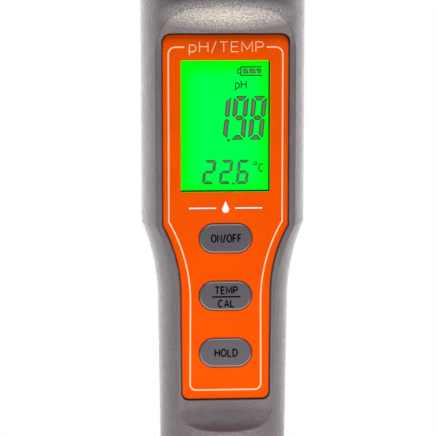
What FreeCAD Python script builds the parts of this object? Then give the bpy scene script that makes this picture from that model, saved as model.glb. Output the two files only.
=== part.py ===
import FreeCAD, Part
import math
import os
import re

import Sketcher

# Pen-type pH and temperature tester, standing on its probe cap.
# Millimetres. +Z up along the pen, the keys and the display face -Y,
# origin at the middle of the probe cap's foot.

DIMENSIONS = {
    # overall
    "total_height": 188.0,
    "head_radius": 19.0,
    # housing, from its lower shoulder to its upper shoulder
    "housing_low": 54.0,
    "housing_high": 174.0,
    "handle_low_radius": 14.65,
    "handle_high_radius": 15.27,
    "flare_low": 95.6,
    "flare_high": 114.6,
    "flare_radius": 48.6,
    "handle_bore": 13.0,
    "head_bore": 17.2,
    "bore_flare_low": 93.0,
    "bore_flare_high": 117.0,
    "bore_floor": 57.0,
    "bore_roof": 171.5,
    # flat front face with a concave ramp at each end
    "flat_depth": 10.38,
    "flat_low": 71.9,
    "flat_high": 153.0,
    "ramp_low_radius": 4.5,
    "ramp_high_radius": 11.5,
    "flat_edge_round": 0.35,
    "recess_edge_round": 0.12,
    "inner_flat_low": 62.0,
    "inner_flat_step": 116.0,
    "inner_flat_high": 157.0,
    "inner_slope_high": 168.0,
    "handle_inner_flat": 6.4,
    "head_inner_flat": 7.5,
    # faceplate and the recess that holds it
    "plate_depth": 9.9,
    "plate_thickness": 0.8,
    "plate_gap": 0.3,
    "plate_low": 73.97,
    "plate_high": 158.0,
    "plate_foot_half": 10.0,
    "plate_waist_half": 10.19,
    "plate_waist_z": 98.7,
    "plate_kink_z": 114.5,
    "plate_head_half": 14.3,
    "plate_curve_radius": 32.3,
    "plate_foot_corner": 1.5,
    "plate_head_corner": 1.75,
    "plate_edge_round": 0.18,
    # display
    "window_half": 10.2,
    "window_low": 122.15,
    "window_high": 152.15,
    "window_corner": 0.4,
    "pane_lap": 0.8,
    "pane_thickness": 0.4,
    "glass_half": 11.9,
    "glass_low": 117.6,
    "glass_high": 155.4,
    "glass_thickness": 1.7,
    "gasket_thickness": 0.18,
    "frame_half": 12.6,
    "frame_low": 116.6,
    "frame_high": 156.4,
    "backlight_low": 120.6,
    "backlight_thickness": 1.7,
    "strip_low": 118.0,
    "strip_height": 2.0,
    # keys
    "key_half_length": 6.1,
    "key_half_height": 3.4,
    "key_gap": 0.1,
    "key_rise": 0.25,
    "key_clearance": 0.1,
    "key_round": 0.45,
    "key_flange": 0.7,
    "key_flange_thickness": 0.4,
    "key_first_z": 84.8,
    "key_pitch": 13.35,
    "key_well_gap": 0.4,
    "key_well_depth": 7.9,
    "plunger_radius": 1.6,
    "plunger_hole": 2.0,
    "plunger_tip": 6.0,
    "pad_depth": 8.5,
    "pad_thickness": 0.5,
    "pad_half": 8.4,
    "pad_low": 78.6,
    "pad_high": 117.7,
    "pad_corner": 2.0,
    # circuit board and what is on it
    "board_front": 3.6,
    "board_thickness": 1.2,
    "board_low": 66.0,
    "board_step": 116.0,
    "board_high": 160.0,
    "board_handle_half": 9.0,
    "board_head_half": 12.5,
    "switch_side": 6.0,
    "switch_height": 1.8,
    "switch_well": 1.6,
    "switch_well_radius": 1.55,
    "stem_radius": 1.4,
    "stem_length": 1.5,
    "screw_low_x": 7.0,
    "screw_low_z": 71.0,
    "screw_high_x": 10.4,
    "screw_high_z": 158.1,
    "screw_head_radius": 1.5,
    "screw_head_height": 0.9,
    "screw_radius": 0.75,
    "screw_length": 3.0,
    "screw_gap": 0.1,
    "chip_side": 6.0,
    "chip_z": 95.0,
    "amplifier_z": 78.0,
    "amplifier_side": 4.0,
    "chip_height": 1.0,
    # chassis behind the board
    "chassis_low": 63.0,
    "chassis_high": 162.0,
    "chassis_step": 117.0,
    "chassis_handle_half": 9.6,
    "chassis_head_half": 13.2,
    "chassis_thickness": 1.4,
    "chassis_window_half": 5.2,
    "chassis_rail": 4.0,
    "chassis_rail_width": 1.2,
    # threaded neck at the top, battery cap and its ring seal
    "neck_radius": 15.0,
    "neck_bore": 13.3,
    "neck_high": 183.0,
    "thread_pitch": 3.0,
    "thread_height": 0.8,
    "thread_root": 1.1,
    "thread_crest": 0.5,
    "neck_thread_low": 176.2,
    "neck_thread_rise": 4.5,
    "cap_joint": 0.15,
    "cap_bore": 16.1,
    "cap_ceiling": 185.6,
    "cap_edge_round": 2.2,
    "cap_dish_radius": 12.5,
    "cap_dish_depth": 0.5,
    "cap_seal_middle": 17.4,
    "cap_seal_section": 0.55,
    "cap_groove_radius": 0.65,
    "cap_groove_low": 177.5,
    "cap_groove_length": 7.0,
    # battery holder, button cells and contacts
    "holder_radius": 13.1,
    "holder_flange_radius": 14.7,
    "holder_flange": 1.2,
    "holder_low": 171.6,
    "well_radius": 5.9,
    "well_offset": 6.15,
    "well_floor": 172.9,
    "cell_radius": 5.8,
    "cell_height": 5.4,
    "cell_low": 173.3,
    "cell_edge": 0.35,
    "contact_radius": 4.5,
    "contact_thickness": 0.35,
    "contact_tail_radius": 0.45,
    "bridge_radius": 11.5,
    "bridge_thickness": 0.4,
    "bridge_ring_inner": 4.6,
    "bridge_ring_outer": 8.2,
    "bridge_low": 184.25,
    # threaded spigot at the bottom and the lock ring
    "spigot_low": 44.0,
    "spigot_radius": 12.2,
    "spigot_bore": 10.2,
    "spigot_thread_low": 46.6,
    "spigot_thread_rise": 4.5,
    "ring_low": 40.8,
    "ring_high": 53.7,
    "ring_radius": 14.6,
    "ring_bore": 13.25,
    "ring_lip_bore": 11.0,
    "ring_lip_high": 42.3,
    "ring_groove_radius": 0.6,
    "ring_groove_low": 42.4,
    "ring_groove_length": 9.6,
    # probe socket in the bottom of the housing
    "socket_low": 51.0,
    "socket_radius": 9.9,
    "socket_flange_radius": 12.4,
    "socket_flange_high": 59.0,
    "pin_y": 3.0,
    "pin_first_x": -6.0,
    "pin_spacing": 4.0,
    "pin_radius": 0.6,
    "pin_low": 46.0,
    "pin_high": 56.6,
    "sleeve_radius": 1.05,
    "sleeve_bore": 0.75,
    "tail_radius": 0.4,
    # electrode
    "barrel_low": 12.0,
    "barrel_radius": 8.2,
    "barrel_nose_radius": 7.4,
    "barrel_nose_high": 18.0,
    "barrel_bore": 6.8,
    "barrel_bore_low": 14.0,
    "barrel_bore_high": 40.0,
    "collar_low": 30.0,
    "collar_radius": 10.7,
    "flange_low": 42.4,
    "flange_radius": 12.0,
    "plug_radius": 9.9,
    "plug_high": 50.0,
    "seal_section": 0.6,
    "seal_seat": 1.08,
    "collar_seal_z": 36.0,
    "plug_seal_z": 47.0,
    "stem_glass_radius": 2.5,
    "bulb_radius": 3.2,
    "bulb_z": 9.0,
    "glass_wall": 0.5,
    "tube_high": 46.0,
    "inner_wire_radius": 0.4,
    "inner_wire_low": 14.0,
    "outer_wire_x": -4.4,
    "outer_wire_low": 17.0,
    "junction_x": -4.9,
    "junction_radius": 0.9,
    "junction_low": 11.4,
    "junction_high": 15.0,
    "sensor_x": 4.9,
    "sensor_radius": 1.4,
    "sensor_low": 7.5,
    "sensor_high": 22.0,
    "guard_low": 4.6,
    "guard_high": 17.9,
    "guard_slot_low": 6.2,
    "guard_slot_high": 11.6,
    "guard_slot_width": 6.4,
    "guard_foot_bore": 5.6,
    # protective cap that the tester stands on
    "boot_high": 40.5,
    "boot_foot_radius": 13.6,
    "boot_waist_radius": 12.9,
    "boot_rim_radius": 13.8,
    "boot_rim_low": 33.5,
    "boot_bore": 11.0,
    "boot_low_bore": 10.7,
    "boot_step": 27.0,
    "boot_floor": 2.0,
    "boot_round": 0.8,
    "boot_groove_radius": 0.5,
    "sponge_radius": 10.2,
    "sponge_thickness": 2.2,
}

KEYS = ("key_hold", "key_temp_cal", "key_on_off")
TOLERANCE = 1e-3
NECK_GROOVES = 36
RING_GROOVES = 24
BOOT_GROOVES = 30
PIN_COUNT = 4

doc = FreeCAD.newDocument("ph_tester")
sheet = doc.addObject("Spreadsheet::Sheet", "Dims")
for row, (alias, number) in enumerate(DIMENSIONS.items(), start=1):
    sheet.set("A%d" % row, alias)
    sheet.set("B%d" % row, str(number))
    sheet.setAlias("B%d" % row, alias)
doc.recompute()

SUBPARTS = []


# ---- formulas over the sheet's aliases ----

def formula(text):
    """The expression for a formula written with bare aliases."""
    return re.sub(r"\b(?!sqrt\b)([a-z]\w*)", r"Dims.\1", str(text))


def value(text):
    """The number that a formula gives now."""
    return float(sheet.evalExpression(formula(text)))


def bind(thing, name, text):
    """Tie one property of a document object to a formula."""
    thing.setExpression(name, formula(text))


def subpart(thing, label):
    """Name a finished object as a piece of the tester."""
    thing.Label = label
    SUBPARTS.append(thing)
    return thing


# ---- sketches ----

def new_sketch(body, role, offset="0"):
    """An empty sketch on an origin plane of the body, moved along the plane's normal."""
    sketch = body.newObject("Sketcher::SketchObject", body.Name + "_sketch")
    plane = [feature for feature in body.Origin.OriginFeatures if feature.Role == role][0]
    sketch.AttachmentSupport = [(plane, "")]
    sketch.MapMode = "FlatFace"
    bind(sketch, "AttachmentOffset.Base.z", offset)
    return sketch


def place(sketch, element, end, x, y):
    """Hold one point of a sketch at formulas x and y."""
    at_x = sketch.addConstraint(Sketcher.Constraint("DistanceX", -1, 1, element, end, value(x)))
    at_y = sketch.addConstraint(Sketcher.Constraint("DistanceY", -1, 1, element, end, value(y)))
    bind(sketch, "Constraints[%d]" % at_x, x)
    bind(sketch, "Constraints[%d]" % at_y, y)


def draw(sketch, points):
    """A closed outline. A point is (x, y), or (x, y, radius, turn) where an arc leads on to the
    next point, turning left for turn 1 and right for turn -1."""
    sides = []
    for index, point in enumerate(points):
        following = points[(index + 1) % len(points)]
        start = FreeCAD.Vector(value(point[0]), value(point[1]), 0)
        end = FreeCAD.Vector(value(following[0]), value(following[1]), 0)
        if len(point) == 2:
            element = sketch.addGeometry(Part.LineSegment(start, end))
            sides.append((element, 1, 2))
            continue
        radius, turn = value(point[2]), point[3]
        chord = end - start
        reach = math.sqrt(max(radius ** 2 - (chord.Length / 2) ** 2, 0.0)) * turn
        centre = (start + end) / 2 + FreeCAD.Vector(-chord.y, chord.x, 0) * (reach / chord.Length)
        first, last = (start, end) if turn > 0 else (end, start)
        angles = [math.atan2(p.y - centre.y, p.x - centre.x) for p in (first, last)]
        circle = Part.Circle(centre, FreeCAD.Vector(0, 0, 1), radius)
        element = sketch.addGeometry(Part.ArcOfCircle(circle, angles[0], angles[1]))
        sides.append((element, 1, 2) if turn > 0 else (element, 2, 1))
    for index, side in enumerate(sides):
        before = sides[index - 1]
        sketch.addConstraint(Sketcher.Constraint("Coincident", before[0], before[2], side[0], side[1]))
    for side, point in zip(sides, points):
        place(sketch, side[0], side[1], point[0], point[1])
        if len(point) == 4:
            bend = sketch.addConstraint(Sketcher.Constraint("Radius", side[0], value(point[2])))
            bind(sketch, "Constraints[%d]" % bend, point[2])


def draw_circle(sketch, x, y, radius):
    """A circle with its centre and radius held by formulas."""
    centre = FreeCAD.Vector(value(x), value(y), 0)
    circle = Part.Circle(centre, FreeCAD.Vector(0, 0, 1), value(radius))
    element = sketch.addGeometry(circle)
    place(sketch, element, 3, x, y)
    size = sketch.addConstraint(Sketcher.Constraint("Radius", element, value(radius)))
    bind(sketch, "Constraints[%d]" % size, radius)


def rectangle(half, low, high):
    """A rectangle about x = 0."""
    return [("-(%s)" % half, low), (half, low), (half, high), ("-(%s)" % half, high)]


def round_rectangle(half, low, high, corner):
    """A rectangle about x = 0 with rounded corners."""
    left, right = "-(%s)" % half, half
    return [
        ("%s + %s" % (left, corner), low),
        ("%s - %s" % (right, corner), low, corner, 1),
        (right, "%s + %s" % (low, corner)),
        (right, "%s - %s" % (high, corner), corner, 1),
        ("%s - %s" % (right, corner), high),
        ("%s + %s" % (left, corner), high, corner, 1),
        (left, "%s - %s" % (high, corner)),
        (left, "%s + %s" % (low, corner), corner, 1),
    ]


def stadium(middle, grow="0"):
    """A key's outline at height middle, grown all round."""
    end = "(key_half_height + %s)" % grow
    straight = "(key_half_length - key_half_height)"
    return [
        ("-%s" % straight, "%s - %s" % (middle, end)),
        (straight, "%s - %s" % (middle, end), end, 1),
        ("%s + %s" % (straight, end), middle, end, 1),
        (straight, "%s + %s" % (middle, end)),
        ("-%s" % straight, "%s + %s" % (middle, end), end, 1),
        ("-%s - %s" % (straight, end), middle, end, 1),
    ]


def plate_outline(grow="0"):
    """The faceplate: straight at the head, curving in to the handle's width."""
    foot, waist, head = ["(%s + %s)" % (name, grow) for name in
                         ("plate_foot_half", "plate_waist_half", "plate_head_half")]
    low, high = "(plate_low - %s)" % grow, "(plate_high + %s)" % grow
    low_corner, high_corner = "plate_foot_corner + %s" % grow, "plate_head_corner + %s" % grow
    curve = "plate_curve_radius - %s" % grow
    return [
        ("-%s + %s" % (foot, low_corner), low),
        ("%s - (%s)" % (foot, low_corner), low, low_corner, 1),
        (foot, "%s + %s" % (low, low_corner)),
        (waist, "plate_waist_z", curve, -1),
        (head, "plate_kink_z"),
        (head, "%s - (%s)" % (high, high_corner), high_corner, 1),
        ("%s - (%s)" % (head, high_corner), high),
        ("-%s + %s" % (head, high_corner), high, high_corner, 1),
        ("-%s" % head, "%s - (%s)" % (high, high_corner)),
        ("-%s" % head, "plate_kink_z", curve, -1),
        ("-%s" % waist, "plate_waist_z"),
        ("-%s" % foot, "%s + %s" % (low, low_corner), low_corner, 1),
    ]


# ---- features of a body ----

def new_body(name):
    return doc.addObject("PartDesign::Body", name)


def revolve(body, points):
    """A solid of revolution about Z from an outline of (radius, height)."""
    sketch = new_sketch(body, "XZ_Plane")
    draw(sketch, points)
    feature = body.newObject("PartDesign::Revolution", body.Name + "_turned")
    feature.Profile = sketch
    feature.ReferenceAxis = (sketch, ["V_Axis"])
    feature.Angle = 360
    doc.recompute()
    return feature


def pad(body, outlines, start, length, role="XZ_Plane"):
    """Outlines padded along the plane's normal: towards -Y on XZ_Plane, +Z on XY_Plane.
    An outline of three formulas is a circle."""
    sketch = new_sketch(body, role, start)
    for outline in outlines:
        draw_any(sketch, outline)
    feature = body.newObject("PartDesign::Pad", body.Name + "_pad")
    feature.Profile = sketch
    bind(feature, "Length", length)
    doc.recompute()
    return feature


def cut(body, outlines, start, length, role="XZ_Plane"):
    """Outlines cut against the plane's normal: towards +Y on XZ_Plane, -Z on XY_Plane."""
    before = body.Shape.Volume
    sketch = new_sketch(body, role, start)
    for outline in outlines:
        draw_any(sketch, outline)
    feature = body.newObject("PartDesign::Pocket", body.Name + "_cut")
    feature.Profile = sketch
    bind(feature, "Length", length)
    doc.recompute()
    if body.Shape.Volume >= before:
        raise RuntimeError(feature.Name + " cuts nothing")
    return feature


def draw_any(sketch, outline):
    if isinstance(outline, tuple):
        draw_circle(sketch, *outline)
    else:
        draw(sketch, outline)


def cut_across(body, points):
    """An outline of (y, z) cut right across the body along X."""
    sketch = new_sketch(body, "YZ_Plane")
    draw(sketch, points)
    feature = body.newObject("PartDesign::Pocket", body.Name + "_across")
    feature.Profile = sketch
    feature.SideType = "Symmetric"
    bind(feature, "Length", "head_radius * 4")
    doc.recompute()
    return feature


def repeat(body, feature, count):
    """Copies of a feature all round Z."""
    pattern = body.newObject("PartDesign::PolarPattern", body.Name + "_ring")
    pattern.Originals = [feature]
    pattern.Axis = ([axis for axis in body.Origin.OriginFeatures if axis.Role == "Z_Axis"][0], [""])
    pattern.Angle = 360
    pattern.Occurrences = count
    body.Tip = pattern
    doc.recompute()
    return pattern


def thread(body, root, low, rise, outward):
    """A helical ridge about Z. root is the radius of the wall that it stands on."""
    sketch = new_sketch(body, "XZ_Plane")
    sign, sunk = ("+", "-") if outward else ("-", "+")
    inner = "%s %s 0.2" % (root, sunk)
    crest = "%s %s thread_height" % (root, sign)
    draw(sketch, [
        (inner, low),
        (crest, "%s + (thread_root - thread_crest) / 2" % low),
        (crest, "%s + (thread_root + thread_crest) / 2" % low),
        (inner, "%s + thread_root" % low),
    ])
    feature = body.newObject("PartDesign::AdditiveHelix", body.Name + "_thread")
    feature.Profile = sketch
    feature.ReferenceAxis = (sketch, ["V_Axis"])
    feature.Mode = "pitch-height-angle"
    bind(feature, "Pitch", "thread_pitch")
    bind(feature, "Height", rise)
    doc.recompute()
    return feature


def plane_edges(shape, axis, position):
    """Names of the edges that lie in one plane across an axis, 1 for Y, 2 for Z."""
    return ["Edge%d" % index for index, edge in enumerate(shape.Edges, start=1)
            if all(abs(point[axis] - position) < TOLERANCE for point in edge.discretize(5))]


def rim_edges(shape, front, floor):
    """Names of the edges in the plane y = front of the walls that go back to y = floor."""
    walls = [face for face in shape.Faces
             if abs(face.BoundBox.YMin - front) < TOLERANCE and abs(face.BoundBox.YMax - floor) < TOLERANCE]
    rim = [edge for wall in walls for edge in wall.Edges if edge.BoundBox.YMax - front < TOLERANCE]
    return ["Edge%d" % index for index, edge in enumerate(shape.Edges, start=1)
            if any(edge.isSame(other) for other in rim)]


def front_edges(shape):
    """Names of the edges where the flat front and its two ramps meet the round outside."""
    flat, low, high = [value(name) for name in ("flat_depth", "flat_low", "flat_high")]
    low_bend, high_bend = value("ramp_low_radius"), value("ramp_high_radius")

    def on_cut(point):
        return (abs(point.y + flat) < TOLERANCE
                or abs(math.hypot(point.y + flat + low_bend, point.z - low) - low_bend) < TOLERANCE
                or abs(math.hypot(point.y + flat + high_bend, point.z - high) - high_bend) < TOLERANCE)

    def level(edge):
        return edge.BoundBox.YLength < TOLERANCE and edge.BoundBox.ZLength < TOLERANCE

    return ["Edge%d" % index for index, edge in enumerate(shape.Edges, start=1)
            if all(on_cut(point) for point in edge.discretize(6)) and not level(edge)]


def round_edges(body, names, radius):
    """A fillet on named edges of the body's last feature."""
    last = body.Tip
    feature = body.newObject("PartDesign::Fillet", body.Name + "_round")
    feature.Base = (last, names)
    bind(feature, "Radius", radius)
    doc.recompute()
    return feature


# ---- plain primitives ----

def block(name, half, low, high, front, thickness, middle="0"):
    """A box about x = middle whose front face is at y = -front."""
    box = doc.addObject("Part::Box", name)
    bind(box, "Length", "(%s) * 2" % half)
    bind(box, "Width", thickness)
    bind(box, "Height", "%s - (%s)" % (high, low))
    bind(box, "Placement.Base.x", "%s - (%s)" % (middle, half))
    bind(box, "Placement.Base.y", "-(%s)" % front)
    bind(box, "Placement.Base.z", low)
    return box


def rod(name, x, y, low, high, radius):
    """A cylinder along Z."""
    cylinder = doc.addObject("Part::Cylinder", name)
    bind(cylinder, "Radius", radius)
    bind(cylinder, "Height", "%s - (%s)" % (high, low))
    bind(cylinder, "Placement.Base.x", x)
    bind(cylinder, "Placement.Base.y", y)
    bind(cylinder, "Placement.Base.z", low)
    return cylinder


def peg(name, x, z, front, length, radius):
    """A cylinder along Y whose front end is at y = -front."""
    cylinder = doc.addObject("Part::Cylinder", name)
    bind(cylinder, "Radius", radius)
    bind(cylinder, "Height", length)
    cylinder.Placement = FreeCAD.Placement(FreeCAD.Vector(), FreeCAD.Rotation(FreeCAD.Vector(1, 0, 0), -90))
    bind(cylinder, "Placement.Base.x", x)
    bind(cylinder, "Placement.Base.y", "-(%s)" % front)
    bind(cylinder, "Placement.Base.z", z)
    return cylinder


def ring(name, z, middle, section):
    """A round-section ring about Z."""
    torus = doc.addObject("Part::Torus", name)
    bind(torus, "Radius1", middle)
    bind(torus, "Radius2", section)
    bind(torus, "Placement.Base.z", z)
    return torus


def join(name, pieces):
    fuse = doc.addObject("Part::MultiFuse", name)
    fuse.Shapes = pieces
    doc.recompute()
    return fuse


def subtract(name, base, tool):
    difference = doc.addObject("Part::Cut", name)
    difference.Base = base
    difference.Tool = tool
    doc.recompute()
    return difference


def group(name, pieces):
    """Equal loose pieces that share one node."""
    bundle = doc.addObject("Part::Compound", name)
    bundle.Links = pieces
    doc.recompute()
    return bundle


def key_z(index):
    return "key_first_z + key_pitch * %d" % index


def pin_x(index):
    return "pin_first_x + pin_spacing * %d" % index


# ---- housing ----

def housing_outside():
    """Handle, flare and head in one turned shape, with the flat front, its recess and openings."""
    body = new_body("housing_shell")
    revolve(body, [
        ("0", "spigot_low"),
        ("spigot_radius", "spigot_low"),
        ("spigot_radius", "housing_low"),
        ("handle_low_radius", "housing_low"),
        ("handle_high_radius", "flare_low", "flare_radius", -1),
        ("head_radius", "flare_high"),
        ("head_radius", "housing_high"),
        ("neck_radius", "housing_high"),
        ("neck_radius", "neck_high"),
        ("0", "neck_high"),
    ])
    far = "head_radius + 5"
    cut_across(body, [
        ("-(%s)" % far, "flat_low - ramp_low_radius"),
        ("-(flat_depth + ramp_low_radius)", "flat_low - ramp_low_radius", "ramp_low_radius", 1),
        ("-flat_depth", "flat_low"),
        ("-flat_depth", "flat_high", "ramp_high_radius", 1),
        ("-(flat_depth + ramp_high_radius)", "flat_high + ramp_high_radius"),
        ("-(%s)" % far, "flat_high + ramp_high_radius"),
    ])
    round_edges(body, front_edges(body.Shape), "flat_edge_round")
    floor = "plate_depth - plate_thickness"
    cut(body, [plate_outline("plate_gap")], "flat_depth + 8", "flat_depth + 8 - (%s)" % floor)
    rim = rim_edges(body.Shape, -value("flat_depth"), -value(floor))
    round_edges(body, rim, "recess_edge_round")
    thread(body, "neck_radius", "neck_thread_low", "neck_thread_rise", True)
    thread(body, "spigot_radius", "spigot_thread_low", "spigot_thread_rise", True)
    pad_outline = round_rectangle("pad_half", "pad_low", "pad_high", "pad_corner")
    cut(body, [pad_outline], floor, "%s - pad_depth" % floor)
    wells = [stadium(key_z(index), "(key_flange + key_well_gap)") for index in range(len(KEYS))]
    cut(body, wells, "pad_depth", "pad_depth - key_well_depth")
    holes = [("0", key_z(index), "plunger_hole") for index in range(len(KEYS))]
    cut(body, holes, "key_well_depth", "key_well_depth - handle_inner_flat + 1")
    view = round_rectangle("window_half + 0.3", "window_low - 0.3", "window_high + 0.3", "window_corner")
    cut(body, [view], floor, "%s - head_inner_flat + 1" % floor)
    return body


def housing_inside():
    """The space inside the housing, with a flat wall behind the faceplate."""
    body = new_body("housing_core")
    revolve(body, [
        ("0", "spigot_low - 1"),
        ("spigot_bore", "spigot_low - 1"),
        ("spigot_bore", "bore_floor"),
        ("handle_bore", "bore_floor"),
        ("handle_bore", "bore_flare_low"),
        ("head_bore", "bore_flare_high"),
        ("head_bore", "bore_roof"),
        ("neck_bore", "bore_roof"),
        ("neck_bore", "neck_high + 1"),
        ("0", "neck_high + 1"),
    ])
    cut_across(body, [
        ("-(head_radius + 5)", "inner_flat_low"),
        ("-handle_inner_flat", "inner_flat_low"),
        ("-handle_inner_flat", "inner_flat_step"),
        ("-head_inner_flat", "inner_flat_step"),
        ("-head_inner_flat", "inner_flat_high"),
        ("-(head_bore + 0.1)", "inner_slope_high"),
        ("-(head_radius + 5)", "inner_slope_high"),
    ])
    return body


def make_housing():
    housing = subtract("housing", housing_outside(), housing_inside())
    subpart(housing, "main_housing")


# ---- faceplate, window and keys ----

def make_faceplate():
    body = new_body("faceplate")
    back = "plate_depth - plate_thickness"
    pad(body, [plate_outline()], back, "plate_thickness")
    cut(body, [round_rectangle("window_half", "window_low", "window_high", "window_corner")],
        "plate_depth", "plate_thickness")
    holes = [stadium(key_z(index), "key_gap") for index in range(len(KEYS))]
    cut(body, holes, "plate_depth", "plate_thickness")
    round_edges(body, plane_edges(body.Shape, 1, -value("plate_depth")), "plate_edge_round")
    rebate = round_rectangle("window_half + pane_lap", "window_low - pane_lap",
                             "window_high + pane_lap", "window_corner")
    cut(body, [rebate], "%s + pane_thickness" % back, "pane_thickness")
    subpart(body, "face_overlay")


def make_window():
    body = new_body("pane")
    back = "plate_depth - plate_thickness"
    pane = round_rectangle("window_half + pane_lap - 0.05", "window_low - pane_lap + 0.05",
                           "window_high + pane_lap - 0.05", "window_corner")
    pad(body, [pane], back, "pane_thickness")
    subpart(body, "display_window")


def make_keypad():
    """A thin rubber sheet round the keys, and each key with its flange and plunger."""
    sheet_body = new_body("key_sheet")
    pad(sheet_body, [round_rectangle("pad_half - 0.1", "pad_low + 0.1", "pad_high - 0.1", "pad_corner")],
        "pad_depth", "pad_thickness")
    holes = [stadium(key_z(index), "(key_flange + 0.25)") for index in range(len(KEYS))]
    cut(sheet_body, holes, "pad_depth + pad_thickness", "pad_thickness")
    subpart(sheet_body, "keypad_membrane")
    for index, label in enumerate(KEYS):
        body = new_body(label + "_body")
        flange_front = "plate_depth - plate_thickness - key_clearance"
        flange_back = "%s - key_flange_thickness" % flange_front
        pad(body, [stadium(key_z(index))], flange_back, "plate_depth + key_rise - (%s)" % flange_back)
        front = -value("plate_depth + key_rise")
        round_edges(body, plane_edges(body.Shape, 1, front), "key_round")
        pad(body, [stadium(key_z(index), "key_flange")], flange_back, "key_flange_thickness")
        pad(body, [("0", key_z(index), "plunger_radius")], "plunger_tip", "%s - plunger_tip" % flange_back)
        subpart(body, label)


# ---- display module ----

def make_display():
    glass_front = "head_inner_flat - gasket_thickness"
    gasket = new_body("gasket")
    pad(gasket, [rectangle("glass_half", "glass_low + 1", "glass_high")], glass_front, "gasket_thickness")
    cut(gasket, [rectangle("window_half + 0.3", "window_low - 0.3", "window_high + 0.3")],
        "head_inner_flat", "gasket_thickness")
    subpart(gasket, "display_gasket")
    glass = block("glass_plate", "glass_half", "glass_low", "glass_high", glass_front, "glass_thickness")
    subpart(glass, "lcd_glass")
    glass_back = "%s - glass_thickness" % glass_front
    light = block("light_plate", "glass_half - 0.3", "backlight_low", "glass_high", glass_back,
                  "backlight_thickness")
    subpart(light, "backlight_panel")
    strip = block("strip", "glass_half - 0.6", "strip_low", "strip_low + strip_height", glass_back,
                  "%s - board_front" % glass_back)
    subpart(strip, "lcd_connector_strip")
    frame = new_body("bezel")
    pad(frame, [rectangle("frame_half", "frame_low", "frame_high")], "board_front",
        "%s - board_front" % glass_front)
    cut(frame, [rectangle("glass_half + 0.05", "glass_low - 0.05", "glass_high + 0.05")],
        glass_front, "%s - board_front" % glass_front)
    subpart(frame, "lcd_frame")


# ---- circuit board and chassis ----

def screw_places():
    return [("-screw_low_x", "screw_low_z"), ("screw_low_x", "screw_low_z"),
            ("-screw_high_x", "screw_high_z"), ("screw_high_x", "screw_high_z")]


def stepped_outline(foot_half, head_half, low, step, high):
    return [
        ("-%s" % foot_half, low), (foot_half, low), (foot_half, step), (head_half, step),
        (head_half, high), ("-%s" % head_half, high), ("-%s" % head_half, step),
        ("-%s" % foot_half, step),
    ]


def make_board():
    body = new_body("board")
    back = "board_front - board_thickness"
    outline = stepped_outline("board_handle_half", "board_head_half", "board_low", "board_step",
                              "board_high")
    pad(body, [outline], back, "board_thickness")
    holes = [(x, z, "screw_radius + screw_gap") for x, z in screw_places()]
    cut(body, holes, "board_front", "board_thickness")
    subpart(body, "main_board")
    side = "chip_side / 2"
    chip = block("chip", side, "chip_z - %s" % side, "chip_z + %s" % side, back, "chip_height")
    subpart(chip, "main_chip")
    side = "amplifier_side / 2"
    amplifier = block("amplifier", side, "amplifier_z - %s" % side, "amplifier_z + %s" % side, back,
                      "chip_height")
    subpart(amplifier, "amplifier_chip")


def make_switches():
    """A square switch under each key, and the stem that the key pushes into it."""
    top = "board_front + switch_height"
    cases = []
    for index, label in enumerate(KEYS):
        half, z = "switch_side / 2", key_z(index)
        case = block(label + "_case", half, "%s - %s" % (z, half), "%s + %s" % (z, half), top,
                     "switch_height")
        well = peg(label + "_switch_well", "0", z, "%s + 0.5" % top, "switch_well + 0.5",
                   "switch_well_radius")
        cases.append(subtract(label + "_switch", case, well))
        stem = peg(label + "_stem", "0", z, "plunger_tip", "stem_length", "stem_radius")
        subpart(stem, label.replace("key_", "") + "_switch_stem")
    subpart(group("switches", cases), "tact_switches")


def make_chassis():
    """A ladder plate behind the board, with two stiffening rails."""
    body = new_body("ladder")
    front = "board_front - board_thickness - 0.1"
    back = "%s - chassis_thickness" % front
    outline = stepped_outline("chassis_handle_half", "chassis_head_half", "chassis_low", "chassis_step",
                              "chassis_high")
    pad(body, [outline], back, "chassis_thickness")
    windows = [rectangle("chassis_window_half", "chassis_low + %d" % low, "chassis_low + %d" % high)
               for low, high in ((11, 19), (26, 40), (58, 72), (76, 90))]
    cut(body, windows, front, "chassis_thickness")
    holes = [(x, z, "screw_radius + 0.02") for x, z in screw_places()]
    cut(body, holes, front, "chassis_thickness")
    rail_inner = "chassis_handle_half - chassis_rail_width"
    rails = []
    for side in ("", "-"):
        near, far = "%s(%s)" % (side, rail_inner), "%schassis_handle_half" % side
        low, high = "chassis_low + 12", "chassis_high - 8"
        rails.append([(near, low), (far, low), (far, high), (near, high)])
    pad(body, rails, "%s - chassis_rail" % back, "chassis_rail")
    subpart(body, "chassis")


def make_screws():
    screws = []
    for index, (x, z) in enumerate(screw_places()):
        head = peg("screw_head_%d" % index, x, z, "board_front + screw_head_height", "screw_head_height",
                   "screw_head_radius")
        slot = block("screw_slot_%d" % index, "screw_head_radius + 0.2", "%s - 0.2" % z, "%s + 0.2" % z,
                     "board_front + screw_head_height + 0.1", "0.5", x)
        shank = peg("screw_shank_%d" % index, x, z, "board_front + 0.2", "screw_length + 0.2", "screw_radius")
        screws.append(join("screw_%d" % index, [subtract("slotted_%d" % index, head, slot), shank]))
    subpart(group("screws", screws), "board_screws")


# ---- battery compartment ----

def make_battery_holder():
    body = new_body("holder")
    revolve(body, [
        ("0", "holder_low"),
        ("holder_radius", "holder_low"),
        ("holder_radius", "neck_high + 0.05"),
        ("holder_flange_radius", "neck_high + 0.05"),
        ("holder_flange_radius", "neck_high + holder_flange"),
        ("0", "neck_high + holder_flange"),
    ])
    top = "neck_high + holder_flange"
    wells = [("-well_offset", "0", "well_radius"), ("well_offset", "0", "well_radius")]
    cut(body, wells, top, "%s - well_floor" % top, "XY_Plane")
    tails = [("-well_offset", "-pin_y", "contact_tail_radius + 0.1"),
             ("well_offset", "-pin_y", "contact_tail_radius + 0.1")]
    cut(body, tails, "well_floor + 1", "well_floor - holder_low + 2", "XY_Plane")
    subpart(body, "battery_holder")


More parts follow.
